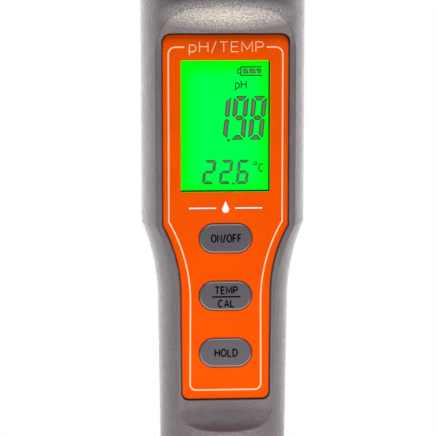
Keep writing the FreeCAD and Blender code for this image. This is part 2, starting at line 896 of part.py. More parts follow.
def make_cells():
    cells, contacts = [], []
    for side, x in (("left", "-well_offset"), ("right", "well_offset")):
        for level in range(2):
            low = "cell_low + cell_height * %d" % level
            cell = rod("cell_%s_%d" % (side, level), x, "0", low, "%s + cell_height" % low, "cell_radius")
            doc.recompute()
            rounded = doc.addObject("Part::Chamfer", "cell_edge_%s_%d" % (side, level))
            rounded.Base = cell
            size = value("cell_edge")
            rounded.Edges = [(1, size, size), (3, size, size)]
            cells.append(rounded)
        disc = rod("contact_%s" % side, x, "0", "well_floor", "well_floor + contact_thickness",
                   "contact_radius")
        tail = rod("tail_%s" % side, x, "-pin_y", "board_high", "well_floor + 0.1", "contact_tail_radius")
        contacts.append(join("contact_%s_whole" % side, [disc, tail]))
    subpart(group("cells", cells), "button_cells")
    subpart(group("contacts", contacts), "battery_contacts")


def make_battery_cap():
    body = new_body("cap")
    foot = "housing_high + cap_joint"
    groove_roof = "%s + cap_seal_section * 2 + 0.15" % foot
    groove_half = "(cap_seal_section + 0.1)"
    top = "total_height"
    revolve(body, [
        ("0", "cap_ceiling"),
        ("cap_bore", "cap_ceiling"),
        ("cap_bore", foot),
        ("cap_seal_middle - %s" % groove_half, foot),
        ("cap_seal_middle - %s" % groove_half, groove_roof),
        ("cap_seal_middle + %s" % groove_half, groove_roof),
        ("cap_seal_middle + %s" % groove_half, foot),
        ("head_radius", foot),
        ("head_radius", "%s - cap_edge_round" % top, "cap_edge_round", 1),
        ("head_radius - cap_edge_round", top),
        ("cap_dish_radius", top),
        ("cap_dish_radius - 1", "%s - cap_dish_depth" % top),
        ("0", "%s - cap_dish_depth" % top),
    ])
    thread(body, "cap_bore", "neck_thread_low + thread_pitch / 2", "neck_thread_rise", False)
    groove = cut(body, [("0", "head_radius + 0.2", "cap_groove_radius")],
                 "cap_groove_low + cap_groove_length", "cap_groove_length", "XY_Plane")
    repeat(body, groove, NECK_GROOVES)
    subpart(body, "battery_cap")
    seal = ring("top_seal", "%s + cap_seal_section" % foot, "cap_seal_middle", "cap_seal_section")
    subpart(seal, "battery_cap_seal")
    bridge = new_body("bridge")
    revolve(bridge, [
        ("0", "cap_ceiling - bridge_thickness"),
        ("bridge_ring_inner", "cap_ceiling - bridge_thickness"),
        ("bridge_ring_inner + 0.8", "bridge_low"),
        ("bridge_ring_outer - 0.8", "bridge_low"),
        ("bridge_ring_outer", "cap_ceiling - bridge_thickness"),
        ("bridge_radius", "cap_ceiling - bridge_thickness"),
        ("bridge_radius", "cap_ceiling"),
        ("0", "cap_ceiling"),
    ])
    subpart(bridge, "battery_contact_bridge")


# ---- probe joint ----

def make_socket():
    body = new_body("socket")
    revolve(body, [
        ("0", "socket_low"),
        ("socket_radius", "socket_low"),
        ("socket_radius", "bore_floor + 0.05"),
        ("socket_flange_radius", "bore_floor + 0.05"),
        ("socket_flange_radius", "socket_flange_high"),
        ("0", "socket_flange_high"),
    ])
    holes = [(pin_x(index), "-pin_y", "sleeve_radius + 0.03") for index in range(PIN_COUNT)]
    cut(body, holes, "socket_flange_high", "socket_flange_high - socket_low", "XY_Plane")
    subpart(body, "probe_socket")
    contacts, pins = [], []
    for index in range(PIN_COUNT):
        x = pin_x(index)
        sleeve = rod("sleeve_%d" % index, x, "-pin_y", "socket_low + 0.2", "socket_flange_high",
                     "sleeve_radius")
        bore = rod("sleeve_bore_%d" % index, x, "-pin_y", "socket_low", "socket_flange_high - 1",
                   "sleeve_bore")
        tube = subtract("tube_%d" % index, sleeve, bore)
        tail = rod("socket_tail_%d" % index, x, "-pin_y", "socket_flange_high - 0.5", "board_low",
                   "tail_radius")
        contacts.append(join("socket_contact_%d" % index, [tube, tail]))
        pins.append(rod("pin_%d" % index, x, "-pin_y", "pin_low", "pin_high", "pin_radius"))
    subpart(group("socket_pins", contacts), "socket_contacts")
    subpart(group("plug_pins", pins), "electrode_pins")


def make_lock_ring():
    body = new_body("collar_nut")
    revolve(body, [
        ("ring_lip_bore", "ring_low"),
        ("ring_radius - 0.5", "ring_low", "0.5", 1),
        ("ring_radius", "ring_low + 0.5"),
        ("ring_radius", "ring_high"),
        ("ring_bore", "ring_high"),
        ("ring_bore", "ring_lip_high"),
        ("ring_lip_bore", "ring_lip_high"),
    ])
    thread(body, "ring_bore", "spigot_thread_low - thread_pitch / 2", "spigot_thread_rise", False)
    groove = cut(body, [("0", "ring_radius + 0.15", "ring_groove_radius")],
                 "ring_groove_low + ring_groove_length", "ring_groove_length", "XY_Plane")
    repeat(body, groove, RING_GROOVES)
    subpart(body, "lock_ring")


# ---- electrode ----

def seal_groove(radius, z):
    """A square groove round an outline, listed upwards."""
    return [
        (radius, "%s - seal_section - 0.1" % z),
        ("%s - seal_seat" % radius, "%s - seal_section - 0.1" % z),
        ("%s - seal_seat" % radius, "%s + seal_section + 0.1" % z),
        (radius, "%s + seal_section + 0.1" % z),
    ]


def make_barrel():
    """Plug, clamping flange, sealing collar and slim barrel, hollow for the filling gel."""
    body = new_body("barrel")
    outline = [
        ("0", "barrel_low"),
        ("barrel_nose_radius", "barrel_low"),
        ("barrel_nose_radius", "barrel_nose_high"),
        ("barrel_radius", "barrel_nose_high"),
        ("barrel_radius", "collar_low"),
        ("collar_radius - 0.6", "collar_low"),
        ("collar_radius", "collar_low + 0.6"),
    ]
    outline += seal_groove("collar_radius", "collar_seal_z")
    outline += [
        ("collar_radius", "flange_low"),
        ("flange_radius", "flange_low"),
        ("flange_radius", "spigot_low - 0.1"),
        ("plug_radius", "spigot_low - 0.1"),
    ]
    outline += seal_groove("plug_radius", "plug_seal_z")
    outline += [("plug_radius", "plug_high"), ("0", "plug_high")]
    revolve(body, outline)
    chamber = new_body("gel_space")
    revolve(chamber, [
        ("0", "barrel_bore_low"),
        ("barrel_bore", "barrel_bore_low"),
        ("barrel_bore", "barrel_bore_high"),
        ("0", "barrel_bore_high"),
    ])
    low = "barrel_low - 1"
    stem = rod("stem_hole", "0", "0", low, "tube_high + 0.5", "stem_glass_radius + 0.05")
    probe = rod("sensor_hole", "sensor_x", "0", low, "barrel_bore_low + 1", "sensor_radius + 0.05")
    plug = rod("junction_hole", "junction_x", "0", low, "barrel_bore_low + 1", "junction_radius + 0.05")
    tools = [chamber, stem, probe, plug]
    for index in range(PIN_COUNT):
        tools.append(rod("pin_hole_%d" % index, pin_x(index), "-pin_y", "pin_low", "plug_high + 1",
                         "pin_radius + 0.03"))
    subpart(subtract("electrode", body, join("electrode_spaces", tools)), "electrode_barrel")


def seal_ring(label, radius, z):
    """A ring seal that stands 0.15 proud of its groove's rim."""
    middle = "%s + 0.15 - seal_section" % radius
    subpart(ring(label + "_ring", z, middle, "seal_section"), label)


def make_glass():
    """Thin-walled glass tube blown out to a bulb at its lower end."""
    outer, inner = "bulb_radius", "(bulb_radius - glass_wall)"
    stem, bore = "stem_glass_radius", "(stem_glass_radius - glass_wall)"
    neck = "bulb_z + sqrt(%s * %s - %s * %s)" % (outer, outer, stem, stem)
    throat = "bulb_z + sqrt(%s * %s - %s * %s)" % (inner, inner, bore, bore)
    body = new_body("glass")
    revolve(body, [
        ("0", "bulb_z - bulb_radius", outer, 1),
        (outer, "bulb_z", outer, 1),
        (stem, neck),
        (stem, "tube_high"),
        (bore, "tube_high"),
        (bore, throat, inner, -1),
        (inner, "bulb_z", inner, -1),
        ("0", "bulb_z - %s" % inner),
    ])
    subpart(body, "glass_bulb")


def make_electrode_core():
    inner = rod("inner_wire", "0", "0", "inner_wire_low", "tube_high - 0.5", "inner_wire_radius")
    subpart(inner, "inner_reference_wire")
    outer = rod("outer_wire", "outer_wire_x", "0", "outer_wire_low", "barrel_bore_high", "inner_wire_radius")
    subpart(outer, "outer_reference_wire")
    junction = rod("porous_plug", "junction_x", "0", "junction_low", "junction_high", "junction_radius")
    subpart(junction, "reference_junction")
    sensor = new_body("sensor")
    pad(sensor, [("sensor_x", "0", "sensor_radius")], "sensor_low", "sensor_high - sensor_low", "XY_Plane")
    round_edges(sensor, plane_edges(sensor.Shape, 2, value("sensor_low")), "sensor_radius * 0.8")
    subpart(sensor, "temperature_sensor")


def make_guard():
    """Open cage round the bulb, pushed on to the barrel's nose."""
    body = new_body("cage")
    revolve(body, [
        ("guard_foot_bore", "guard_low"),
        ("barrel_radius - 0.4", "guard_low", "0.4", 1),
        ("barrel_radius", "guard_low + 0.4"),
        ("barrel_radius", "guard_high"),
        ("barrel_nose_radius + 0.02", "guard_high"),
        ("barrel_nose_radius + 0.02", "guard_slot_low"),
        ("guard_foot_bore", "guard_low + 0.8"),
    ])
    slot = rectangle("guard_slot_width / 2", "guard_slot_low", "guard_slot_high")
    window = cut(body, [slot], "barrel_radius + 1", "4", "XZ_Plane")
    repeat(body, window, 4)
    subpart(body, "probe_guard")


def make_boot():
    """Protective cap with a wide foot and a ribbed rim, and the wet sponge inside it."""
    body = new_body("boot")
    revolve(body, [
        ("0", "0"),
        ("boot_foot_radius - boot_round", "0", "boot_round", 1),
        ("boot_foot_radius", "boot_round"),
        ("boot_foot_radius", "3"),
        ("boot_waist_radius", "4.5"),
        ("boot_waist_radius", "boot_rim_low - 1"),
        ("boot_rim_radius", "boot_rim_low"),
        ("boot_rim_radius", "boot_high - boot_round", "boot_round", 1),
        ("boot_rim_radius - boot_round", "boot_high"),
        ("boot_bore", "boot_high"),
        ("boot_bore", "boot_step + 1"),
        ("boot_low_bore", "boot_step"),
        ("boot_low_bore", "boot_floor"),
        ("0", "boot_floor"),
    ])
    groove = cut(body, [("0", "boot_rim_radius + 0.1", "boot_groove_radius")],
                 "boot_high - 1.2", "boot_high - 1.6 - boot_rim_low", "XY_Plane")
    repeat(body, groove, BOOT_GROOVES)
    subpart(body, "probe_cap")
    sponge = rod("sponge", "0", "0", "boot_floor", "boot_floor + sponge_thickness", "sponge_radius")
    subpart(sponge, "storage_sponge")


def write_parts():
    """Check every object, then write one STEP file for each piece."""
    doc.recompute()
    for thing in doc.Objects:
        if "Invalid" in thing.State or "Error" in thing.State:
            raise RuntimeError("%s failed: %s" % (thing.Name, thing.State))
    for piece in SUBPARTS:
        if piece.Shape.isNull() or not piece.Shape.isValid():
            raise RuntimeError("%s has no valid shape" % piece.Label)
    os.makedirs("parts", exist_ok=True)
    for piece in SUBPARTS:
        piece.Shape.exportStep("parts/%s.step" % piece.Label)
        print(piece.Label, len(piece.Shape.Solids), round(piece.Shape.Volume, 1))


make_housing()
make_faceplate()
make_window()
make_keypad()
make_display()
make_board()
make_switches()
make_chassis()
make_screws()
make_battery_holder()
make_cells()
make_battery_cap()
make_socket()
make_lock_ring()
make_barrel()
seal_ring("cap_seal", "collar_radius", "collar_seal_z")
seal_ring("electrode_seal", "plug_radius", "plug_seal_z")
make_glass()
make_electrode_core()
make_guard()
make_boot()
write_parts()
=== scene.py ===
import math

import bpy
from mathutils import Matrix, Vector


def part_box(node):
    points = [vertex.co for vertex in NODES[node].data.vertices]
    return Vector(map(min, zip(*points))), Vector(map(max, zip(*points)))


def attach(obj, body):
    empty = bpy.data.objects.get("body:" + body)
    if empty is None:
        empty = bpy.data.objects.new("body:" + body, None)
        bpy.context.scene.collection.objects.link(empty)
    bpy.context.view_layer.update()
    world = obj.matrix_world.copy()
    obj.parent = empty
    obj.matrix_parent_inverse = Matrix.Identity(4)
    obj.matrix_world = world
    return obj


# Pen-type pH and temperature tester. The frame holds every moving and load-bearing piece;
# this script adds the printing, the lit display's figures and signs, and every material.
# Metres, in the frame's axes: +Z up, display and keys towards -Y.

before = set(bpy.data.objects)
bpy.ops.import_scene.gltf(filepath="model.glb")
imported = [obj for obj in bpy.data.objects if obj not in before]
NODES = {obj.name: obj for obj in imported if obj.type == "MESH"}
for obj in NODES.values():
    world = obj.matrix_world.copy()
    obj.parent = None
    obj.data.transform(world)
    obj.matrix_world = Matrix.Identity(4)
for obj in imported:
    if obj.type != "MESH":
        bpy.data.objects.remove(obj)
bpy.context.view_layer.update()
MM = 0.001

# the faceplate's printed line, in millimetres from the tester's axis and foot
LINE_WIDTH = 0.34
LINE_HEAD_HALF = 13.0
LINE_FOOT_HALF = 8.2
LINE_TOP = 155.15
LINE_BOTTOM = 76.05
LINE_KINK = 115.4
LINE_CURVE_END = 97.0
LINE_CURVE_RADIUS = 37.0
LINE_TOP_CORNER = 1.6
LINE_BOTTOM_CORNER = 1.4
TITLE_GAP_HALF = 9.35

# the part of the display that the faceplate leaves open, in millimetres, how far in from its
# edges the glow becomes even, and the painted shade line along its right and lower rims
WINDOW_HALF = 10.2
WINDOW_LOW = 122.15
WINDOW_HIGH = 152.15
GLOW_FADE = 4.6
SHADE_LINE_WIDTH = 0.36
SHADE_LINE_SHIFT = -0.02

# printing, in millimetres: thickness, the step between crossing strokes, and the strokes
PRINT_THICKNESS = 0.02
LAYER = 0.003
TITLE_STROKE = 0.22
LABEL_STROKE = 0.34
LABEL_SPACE = 0.3

# the display's figures, in millimetres
FIGURE_THICKNESS = 0.02
FIGURE_GAP = 0.03
FILL_STEP = 0.015
SIGN_STROKE = 0.25
LARGE_FIGURE = dict(low=133.95, width=3.42, height=9.98, stroke=1.04, gap=0.38, slant=0.097)
SMALL_FIGURE = dict(low=123.75, width=2.72, height=5.53, stroke=0.62, gap=0.22, slant=0.11)

# the scooped slope above the display, in metres, and the painted glints on its grain: a painted
# highlight mixed into the housing's colour
SCOOP_LOW = (-0.0175, -0.024, 0.1585)
SCOOP_HIGH = (0.0175, -0.006, 0.1665)
PAINTED_GLINT_SIZE = 0.00034
PAINTED_GLINT_COLOUR = (0.80, 0.765, 0.74)
PAINTED_GLINT_STRENGTH = 2.2

# housing plastic: colour, roughness, and its spark-eroded grain's size and depth in metres
HOUSING_COLOUR = (0.122, 0.099, 0.108)
HOUSING_ROUGHNESS = 0.36
GRAIN_SIZE = 0.0004
GRAIN_DEPTH = 0.00025

# surround, lights and floor: strengths, watts, metres
FRONT_GLOW = 0.10
BACK_GLOW = 2.8
FLOOR_WATTS = 0.42
OVERHEAD_WATTS = 2.15
FLOOR_RADIUS = 0.24
FLOOR_GREY = 0.5
FLOOR_LIFT = 0.1

# the camera's place round the point it looks at, in metres and degrees, and its lens
VIEW_DISTANCE = 0.400
VIEW_AZIMUTH = -4.11
VIEW_ELEVATION = 7.36
VIEW_AIM = (-0.00103, 0.0, 0.11493)
SENSOR_WIDTH = 36.0
FOCAL_LENGTH = 140.68

KEY_BODIES = {"key_on_off": "on_off_key", "key_temp_cal": "temp_cal_key", "key_hold": "hold_key"}

# seven-segment figures, segments in the usual order a to g
SEGMENTS = {
    "1": "bc",
    "2": "abged",
    "6": "afgedc",
    "8": "abcdefg",
    "9": "abcdfg",
}


# ---- materials ----

def new_material(name, colour, roughness, metallic=0.0):
    """A principled material and its shader node."""
    material = bpy.data.materials.new(name)
    material.use_nodes = True
    shader = material.node_tree.nodes["Principled BSDF"]
    shader.inputs["Base Color"].default_value = (*colour, 1.0)
    shader.inputs["Roughness"].default_value = roughness
    shader.inputs["Metallic"].default_value = metallic
    return material, shader


def noise(material, size, detail=3.0, roughness=0.55):
    """Noise whose blotches are about size metres across, fixed to the piece."""
    nodes, links = material.node_tree.nodes, material.node_tree.links
    place = nodes.get("Place") or nodes.new("ShaderNodeTexCoord")
    place.name = "Place"
    texture = nodes.new("ShaderNodeTexNoise")
    texture.inputs["Scale"].default_value = 1.0 / size
    texture.inputs["Detail"].default_value = detail
    texture.inputs["Roughness"].default_value = roughness
    links.new(place.outputs["Object"], texture.inputs["Vector"])
    return texture


def add_bump(material, shader, texture, strength, depth):
    """Raise the surface by a texture, adding to any bump already there."""
    nodes, links = material.node_tree.nodes, material.node_tree.links
    bump = nodes.new("ShaderNodeBump")
    bump.inputs["Strength"].default_value = strength
    bump.inputs["Distance"].default_value = depth
    links.new(texture.outputs["Fac"], bump.inputs["Height"])
    if shader.inputs["Normal"].is_linked:
        links.new(shader.inputs["Normal"].links[0].from_socket, bump.inputs["Normal"])
    links.new(bump.outputs["Normal"], shader.inputs["Normal"])


def ramp_between(material, texture, low, high, start=0.35, end=0.65):
    """A colour ramp from low to high, driven by a texture."""
    nodes, links = material.node_tree.nodes, material.node_tree.links
    ramp = nodes.new("ShaderNodeValToRGB")
    ramp.color_ramp.elements[0].position = start
    ramp.color_ramp.elements[1].position = end
    ramp.color_ramp.elements[0].color = (*low, 1.0)
    ramp.color_ramp.elements[1].color = (*high, 1.0)
    links.new(texture.outputs["Fac"], ramp.inputs["Fac"])
    return ramp


def vary_colour(material, shader, size, low, high):
    """Blotches of colour about size metres across, from low to high."""
    ramp = ramp_between(material, noise(material, size), low, high)
    material.node_tree.links.new(ramp.outputs["Color"], shader.inputs["Base Color"])


def vary_roughness(material, shader, size, low, high):
    """Blotches of gloss about size metres across, from low to high roughness."""
    ramp = ramp_between(material, noise(material, size), (low,) * 3, (high,) * 3)
    material.node_tree.links.new(ramp.outputs["Color"], shader.inputs["Roughness"])


def shade(colour, factor):
    """The colour made darker or lighter by a factor."""
    return tuple(min(1.0, part * factor) for part in colour)


def grained_plastic(name, colour, roughness):
    """Moulded plastic with a fine spark-eroded grain."""
    material, shader = new_material(name, colour, roughness)
    vary_colour(material, shader, 0.004, shade(colour, 0.94), shade(colour, 1.06))
    vary_roughness(material, shader, GRAIN_SIZE * 1.3, roughness - 0.08, roughness + 0.1)
    add_bump(material, shader, noise(material, GRAIN_SIZE, 4.0), 1.0, GRAIN_DEPTH)
    add_bump(material, shader, noise(material, 0.006, 1.0), 0.12, 0.0001)
    shader.inputs["Specular IOR Level"].default_value = 0.9
    return material


def add_painted_glints(material, shader, low, high):
    """Painted highlight: light glints mixed into the base colour on the grain, inside an oval that
    reaches from the low to the high corner.
    """
    nodes, links = material.node_tree.nodes, material.node_tree.links
    oval = nodes.new("ShaderNodeMapping")
    oval.vector_type = "TEXTURE"
    oval.inputs["Location"].default_value = (Vector(low) + Vector(high)) * 0.5
    oval.inputs["Scale"].default_value = (Vector(high) - Vector(low)) * 0.5
    links.new(nodes["Place"].outputs["Object"], oval.inputs["Vector"])
    fade = nodes.new("ShaderNodeTexGradient")
    fade.gradient_type = "SPHERICAL"
    links.new(oval.outputs["Vector"], fade.inputs["Vector"])
    grain = noise(material, PAINTED_GLINT_SIZE, 2.0)
    painted_glint_spots = ramp_between(material, grain, (0.0,) * 3, (1.0,) * 3, 0.3, 0.74)
    amount = nodes.new("ShaderNodeMath")
    amount.operation = "MULTIPLY"
    amount.use_clamp = True
    links.new(fade.outputs["Fac"], amount.inputs[0])
    links.new(painted_glint_spots.outputs["Color"], amount.inputs[1])
    strength = nodes.new("ShaderNodeMath")
    strength.operation = "MULTIPLY"
    strength.use_clamp = True
    strength.inputs[1].default_value = PAINTED_GLINT_STRENGTH
    links.new(amount.outputs["Value"], strength.inputs[0])
    mix = nodes.new("ShaderNodeMix")
    mix.data_type = "RGBA"
    links.new(strength.outputs["Value"], mix.inputs["Factor"])
    links.new(shader.inputs["Base Color"].links[0].from_socket, mix.inputs[6])
    mix.inputs[7].default_value = (*PAINTED_GLINT_COLOUR, 1.0)
    links.new(mix.outputs[2], shader.inputs["Base Color"])


def smooth_plastic(name, colour, roughness=0.3):
    """Plain moulded plastic with faint flow marks."""
    material, shader = new_material(name, colour, roughness)
    vary_colour(material, shader, 0.005, shade(colour, 0.93), shade(colour, 1.07))
    vary_roughness(material, shader, 0.0012, roughness - 0.05, roughness + 0.08)
    add_bump(material, shader, noise(material, 0.0009), 0.15, 0.00003)
    return material


def faceplate_orange():
    """Satin printed faceplate with a very fine texture under the print."""
    material, shader = new_material("faceplate_orange", (0.84, 0.082, 0.0), 0.36)
    vary_colour(material, shader, 0.006, (0.82, 0.078, 0.0), (0.86, 0.086, 0.0))
    vary_roughness(material, shader, 0.0004, 0.32, 0.42)
    add_bump(material, shader, noise(material, 0.00022, 2.0), 0.18, 0.00002)
    shader.inputs["Specular IOR Level"].default_value = 0.05
    return material


def printed_ink(name, colour, roughness=0.45, specular=0.15):
    """Screen-printed ink with a faint unevenness."""
    material, shader = new_material(name, colour, roughness)
    vary_colour(material, shader, 0.0006, shade(colour, 0.95), shade(colour, 1.03))
    add_bump(material, shader, noise(material, 0.00015), 0.1, 0.00001)
    shader.inputs["Specular IOR Level"].default_value = specular
    return material


def key_rubber():
    """Grey silicone, slightly speckled, under a thin soft gloss."""
    colour = (0.092, 0.083, 0.098)
    material, shader = new_material("key_rubber", colour, 0.34)
    vary_colour(material, shader, 0.00035, shade(colour, 0.86), shade(colour, 1.14))
    vary_roughness(material, shader, 0.0003, 0.28, 0.4)
    add_bump(material, shader, noise(material, 0.00022, 3.0), 0.3, 0.00003)
    shader.inputs["Specular IOR Level"].default_value = 1.0
    shader.inputs["Coat Weight"].default_value = 0.5
    shader.inputs["Coat Roughness"].default_value = 0.28
    shader.inputs["Coat IOR"].default_value = 1.6
    return material


def lit_display():
    """A display lit green from behind: cooler in the middle, yellower near its edges."""
    material, shader = new_material("display_glow", (0.0, 0.02, 0.002), 0.25)
    nodes, links = material.node_tree.nodes, material.node_tree.links
    place = nodes.new("ShaderNodeTexCoord")
    split = nodes.new("ShaderNodeSeparateXYZ")
    links.new(place.outputs["Object"], split.inputs["Vector"])
    edges = [("X", -WINDOW_HALF, GLOW_FADE), ("X", WINDOW_HALF, -GLOW_FADE),
             ("Z", WINDOW_LOW - 0.8, GLOW_FADE), ("Z", WINDOW_HIGH - 0.6, -GLOW_FADE)]
    glow = None
    for axis, edge, inward in edges:
        fade = nodes.new("ShaderNodeMapRange")
        fade.interpolation_type = "SMOOTHSTEP"
        fade.inputs["From Min"].default_value = edge * MM
        fade.inputs["From Max"].default_value = (edge + inward) * MM
        links.new(split.outputs[axis], fade.inputs["Value"])
        if glow is None:
            glow = fade.outputs["Result"]
            continue
        both = nodes.new("ShaderNodeMath")
        both.operation = "MULTIPLY"
        links.new(glow, both.inputs[0])
        links.new(fade.outputs["Result"], both.inputs[1])
        glow = both.outputs["Value"]
    ramp = nodes.new("ShaderNodeValToRGB")
    ramp.color_ramp.elements[0].color = (0.0, 1.0, 0.0015, 1.0)
    ramp.color_ramp.elements[1].color = (0.0, 1.0, 0.073, 1.0)
    links.new(glow, ramp.inputs["Fac"])
    links.new(ramp.outputs["Color"], shader.inputs["Emission Color"])
    shader.inputs["Emission Strength"].default_value = 1.0
    shader.inputs["Specular IOR Level"].default_value = 0.0
    return material


def figure_ink(name, colour, glow):
    """The dark of a display's segments, which still lets a little of the light through."""
    material, shader = new_material(name, colour, 0.6)
    vary_colour(material, shader, 0.0005, shade(colour, 0.9), shade(colour, 1.1))
    shader.inputs["Emission Color"].default_value = (*glow, 1.0)
    shader.inputs["Emission Strength"].default_value = 1.0
    shader.inputs["Specular IOR Level"].default_value = 0.1
    return material


def clear_plastic(name, tint, roughness, ior):
    """Clear plastic or glass, very slightly wavy."""
    material, shader = new_material(name, tint, roughness)
    shader.inputs["Transmission Weight"].default_value = 1.0
    shader.inputs["IOR"].default_value = ior
    add_bump(material, shader, noise(material, 0.003, 1.0), 0.05, 0.00003)
    return material


def frosted_cap():
    """Milky cap that light passes into but not through."""
    colour = (0.66, 0.68, 0.69)
    material, shader = new_material("frosted_cap", colour, 0.32)
    vary_colour(material, shader, 0.006, shade(colour, 0.96), shade(colour, 1.03))
    vary_roughness(material, shader, 0.0008, 0.26, 0.4)
    add_bump(material, shader, noise(material, 0.0012), 0.12, 0.00004)
    shader.inputs["Subsurface Weight"].default_value = 0.3
    shader.inputs["Subsurface Scale"].default_value = 0.003
    return material


def metal(name, colour, roughness):
    """Bare or plated metal with fine uneven polish."""
    material, shader = new_material(name, colour, roughness, 1.0)
    vary_colour(material, shader, 0.003, shade(colour, 0.92), shade(colour, 1.05))
    vary_roughness(material, shader, 0.0006, roughness - 0.06, roughness + 0.1)
    add_bump(material, shader, noise(material, 0.0006), 0.08, 0.00001)
    return material


def circuit_board():
    """Solder mask with copper tracks showing through it as lighter lines."""
    material, shader = new_material("solder_mask", (0.01, 0.10, 0.03), 0.3)
    nodes, links = material.node_tree.nodes, material.node_tree.links
    place = nodes.new("ShaderNodeTexCoord")
    tracks = nodes.new("ShaderNodeTexBrick")
    tracks.inputs["Scale"].default_value = 520.0
    tracks.inputs["Mortar Size"].default_value = 0.11
    tracks.inputs["Color1"].default_value = (0.008, 0.085, 0.028, 1.0)
    tracks.inputs["Color2"].default_value = (0.010, 0.105, 0.034, 1.0)
    tracks.inputs["Mortar"].default_value = (0.03, 0.22, 0.07, 1.0)
    turn = nodes.new("ShaderNodeMapping")
    turn.inputs["Rotation"].default_value = (math.radians(90), 0.0, 0.0)
    links.new(place.outputs["Object"], turn.inputs["Vector"])
    links.new(turn.outputs["Vector"], tracks.inputs["Vector"])
    links.new(tracks.outputs["Color"], shader.inputs["Base Color"])
    add_bump(material, shader, noise(material, 0.0007), 0.15, 0.00002)
    return material


def sponge_cells():
    """Open-celled sponge, damp and yellow."""
    material, shader = new_material("sponge_cells", (0.80, 0.62, 0.26), 0.85)
    vary_colour(material, shader, 0.0009, (0.55, 0.38, 0.12), (0.90, 0.74, 0.36))
    add_bump(material, shader, noise(material, 0.0008, 5.0), 0.9, 0.0003)
    return material


def dress_nodes():
    """Every node of the frame gets its material."""
    housing = grained_plastic("housing_grain", HOUSING_COLOUR, HOUSING_ROUGHNESS)
    casing = grained_plastic("casing_grain_and_painted_glints", HOUSING_COLOUR, HOUSING_ROUGHNESS)
    # the main housing's scooped slope gets painted glints, a painted highlight in its colour
    add_painted_glints(casing, casing.node_tree.nodes["Principled BSDF"], SCOOP_LOW, SCOOP_HIGH)
    rubber_black = smooth_plastic("black_rubber", (0.012, 0.012, 0.013), 0.55)
    black = smooth_plastic("black_plastic", (0.022, 0.022, 0.024), 0.4)
    nickel = metal("nickel", (0.72, 0.71, 0.69), 0.22)
    gold = metal("gold_flash", (0.83, 0.60, 0.24), 0.25)
    barrel = smooth_plastic("barrel_plastic", (0.035, 0.037, 0.042), 0.28)
    silver = metal("silver_wire", (0.55, 0.53, 0.50), 0.4)
    rubber = key_rubber()
    materials = {
        casing: ["main_housing"],
        housing: ["battery_cap", "lock_ring"],
        faceplate_orange(): ["face_overlay"],
        clear_plastic("window_clear", (1.0, 1.0, 1.0), 0.02, 1.12): ["display_window"],
        lit_display(): ["lcd_glass"],
        smooth_plastic("light_guide", (0.75, 0.85, 0.76), 0.2): ["backlight_panel"],
        rubber: ["keypad_membrane", "key_on_off", "key_temp_cal", "key_hold"],
        rubber_black: ["display_gasket", "battery_cap_seal", "electrode_seal", "cap_seal",
                       "lcd_connector_strip"],
        black: ["lcd_frame", "tact_switches", "battery_holder", "probe_socket",
                "on_off_switch_stem", "temp_cal_switch_stem", "hold_switch_stem",
                "main_chip", "amplifier_chip"],
        smooth_plastic("chassis_plastic", (0.62, 0.61, 0.57), 0.45): ["chassis"],
        circuit_board(): ["main_board"],
        nickel: ["board_screws", "button_cells", "battery_contacts", "battery_contact_bridge",
                 "temperature_sensor"],
        gold: ["socket_contacts", "electrode_pins"],
        barrel: ["electrode_barrel", "probe_guard"],
        clear_plastic("bulb_glass", (0.93, 0.97, 0.98), 0.01, 1.5): ["glass_bulb"],
        silver: ["inner_reference_wire", "outer_reference_wire"],
        smooth_plastic("porous_ceramic", (0.80, 0.79, 0.74), 0.85): ["reference_junction"],
        frosted_cap(): ["probe_cap"],
        sponge_cells(): ["storage_sponge"],
    }
    for material, names in materials.items():
        for name in names:
            mesh = NODES[name].data
            mesh.materials.clear()
            mesh.materials.append(material)


# ---- outlines in the face's plane, in millimetres ----

def arc(centre_x, centre_z, radius, start, end, steps=12):
    """Points along an arc, angles in degrees from +X towards +Z."""
    angles = [math.radians(start + (end - start) * step / steps) for step in range(steps + 1)]
    return [(centre_x + radius * math.cos(a), centre_z + radius * math.sin(a)) for a in angles]


def mirrored(points):
    """The same points on the other side of the axis, in the opposite order."""
    return [(-x, z) for x, z in reversed(points)]


def line_path():
    """The printed line, from the right of the title down, round the foot and up the left."""
    top, corner = LINE_TOP, LINE_TOP_CORNER
    right = [(TITLE_GAP_HALF, top)]
    right += arc(LINE_HEAD_HALF - corner, top - corner, corner, 90, 0)
    sweep = math.degrees(math.asin((LINE_KINK - LINE_CURVE_END) / LINE_CURVE_RADIUS))
    waist = LINE_HEAD_HALF - LINE_CURVE_RADIUS * (1 - math.cos(math.radians(sweep)))
    right += arc(waist + LINE_CURVE_RADIUS, LINE_CURVE_END, LINE_CURVE_RADIUS,
                 180 - sweep, 180, 24)
    low, bend = LINE_BOTTOM, LINE_BOTTOM_CORNER
    right += arc(LINE_FOOT_HALF - bend, low + bend, bend, 0, -90)
    return right + mirrored(right)


# ---- meshes ----

def new_piece(name, vertices, faces, material, body, slot):
    """A mesh that rides on a body. Vertices are in metres."""
    mesh = bpy.data.meshes.new(name)
    mesh.from_pydata(vertices, [], faces)
    mesh.validate()
    piece = bpy.data.objects.new(name, mesh)
    bpy.context.scene.collection.objects.link(piece)
    mesh.materials.append(material)
    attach(piece, body)


def anticlockwise(outline):
    """The outline's points, turned round if they run clockwise."""
    area = sum(a[0] * b[1] - b[0] * a[1] for a, b in zip(outline, outline[1:] + outline[:1]))
    return outline if area > 0 else outline[::-1]


def plates(outlines, front, thickness):
    """Vertices and faces of flat plates in the face's plane. Each outline is a list of (x, z) in
    millimetres, and front is the depth of the plates' face from the axis."""
    vertices, faces = [], []
    for outline in outlines:
        ring = anticlockwise(outline)
        count, base = len(ring), len(vertices)
        for depth in (front, front - thickness):
            vertices += [(x * MM, -depth * MM, z * MM) for x, z in ring]
        faces.append([base + index for index in range(count)])
        faces.append([base + count + index for index in reversed(range(count))])
        for index in range(count):
            following = (index + 1) % count
            faces.append([base + following, base + index,
                          base + count + index, base + count + following])
    return vertices, faces


